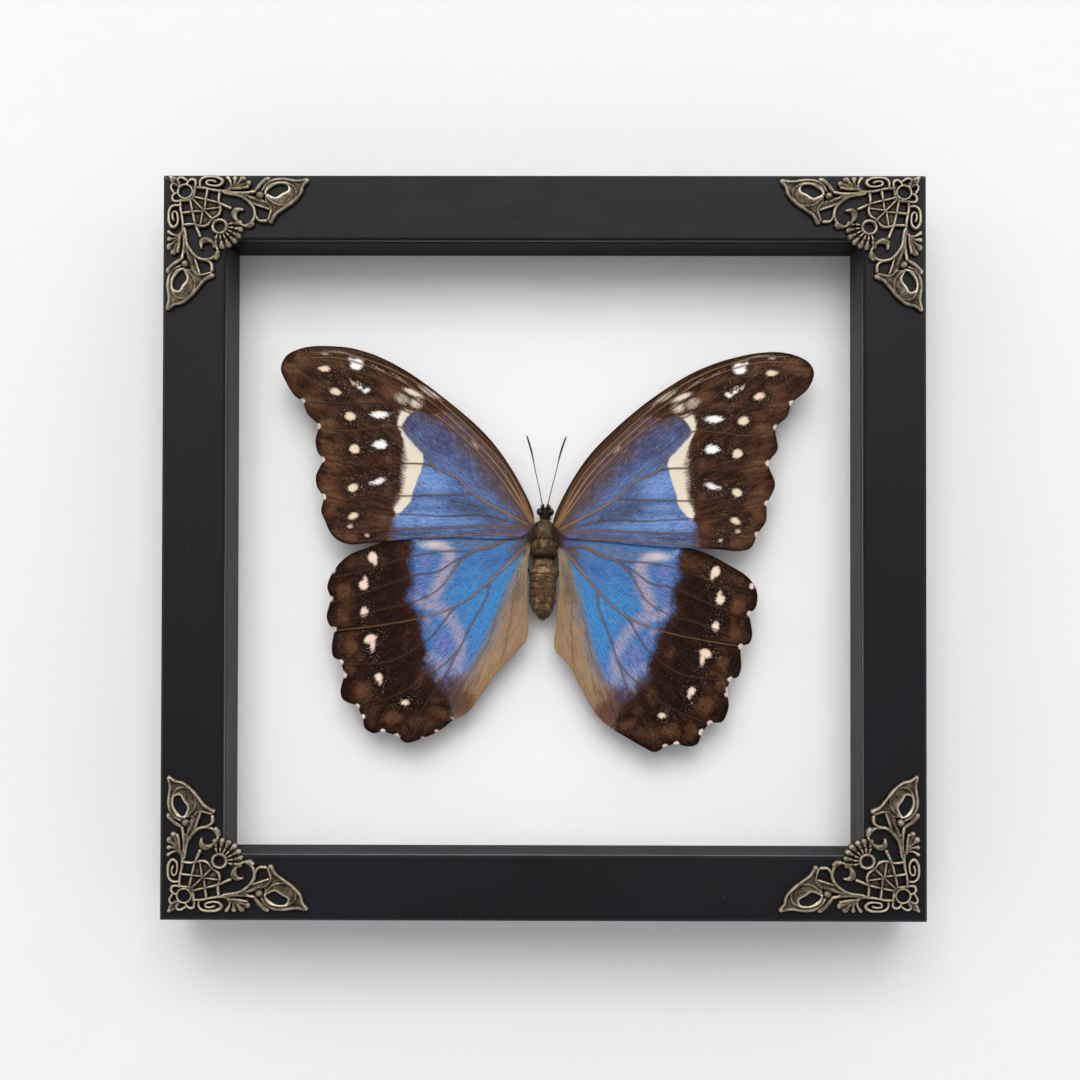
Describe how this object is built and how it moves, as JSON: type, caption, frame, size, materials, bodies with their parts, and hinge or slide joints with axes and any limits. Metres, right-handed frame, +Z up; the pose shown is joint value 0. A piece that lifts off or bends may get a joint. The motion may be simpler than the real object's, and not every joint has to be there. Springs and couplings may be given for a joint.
{
  "type": "framed butterfly specimen",
  "caption": "Square black shadow-box frame with openwork bronze corner ornaments, holding a spread blue butterfly pinned on a white board behind glass.",
  "frame": {"origin": "the point on the wall's surface behind the middle of the sawtooth hanger's lower edge, which the frame hangs from", "axes": "+Z up, +X to the right as the viewer sees it, -Y out of the wall towards the viewer"},
  "size_m": [0.2, 0.0342, 0.1953],
  "materials": {
    "black_paint": "matt black painted wood",
    "charcoal_wood": "charcoal stained wood strip",
    "glass": "clear and flat",
    "white_board": "matt white paper face",
    "hardboard": "brown hardboard",
    "bronze": "antique bronze, dark in the recesses and rubbed on the ridges",
    "steel": "plain steel",
    "forewing": "scaled wing, satin blue with a chocolate margin",
    "hindwing": "scaled wing, bright satin blue with a chocolate margin",
    "body_hair": "hairy brown",
    "head_black": "dark and slightly glossy",
    "leg_brown": "dark and dry"
  },
  "bodies": {
    "root": {"frame_rail_top": "black_paint", "frame_rail_right": "black_paint", "frame_rail_bottom": "black_paint", "frame_rail_left": "black_paint", "spacer_top": "charcoal_wood", "spacer_bottom": "charcoal_wood", "spacer_left": "charcoal_wood", "spacer_right": "charcoal_wood", "glass_pane": "glass", "mount_board": "white_board", "back_panel": "hardboard", "corner_ornament_top_left": "bronze", "corner_ornament_top_right": "bronze", "corner_ornament_bottom_left": "bronze", "corner_ornament_bottom_right": "bronze", "retaining_point_1": "steel", "retaining_point_2": "steel", "retaining_point_3": "steel", "retaining_point_4": "steel", "retaining_point_5": "steel", "retaining_point_6": "steel", "retaining_point_7": "steel", "retaining_point_8": "steel", "hanger_plate": "steel", "hanger_nail_left": "steel", "hanger_nail_right": "steel", "specimen_pin": "steel", "forewing_left": "forewing", "forewing_right": "forewing", "hindwing_left": "hindwing", "hindwing_right": "hindwing", "thorax": "body_hair", "abdomen": "body_hair", "head": "head_black", "antenna_left": "head_black", "antenna_right": "head_black", "leg_front_left": "leg_brown", "leg_front_right": "leg_brown", "leg_hind_left": "leg_brown", "leg_hind_right": "leg_brown"}
  },
  "joints": []
}
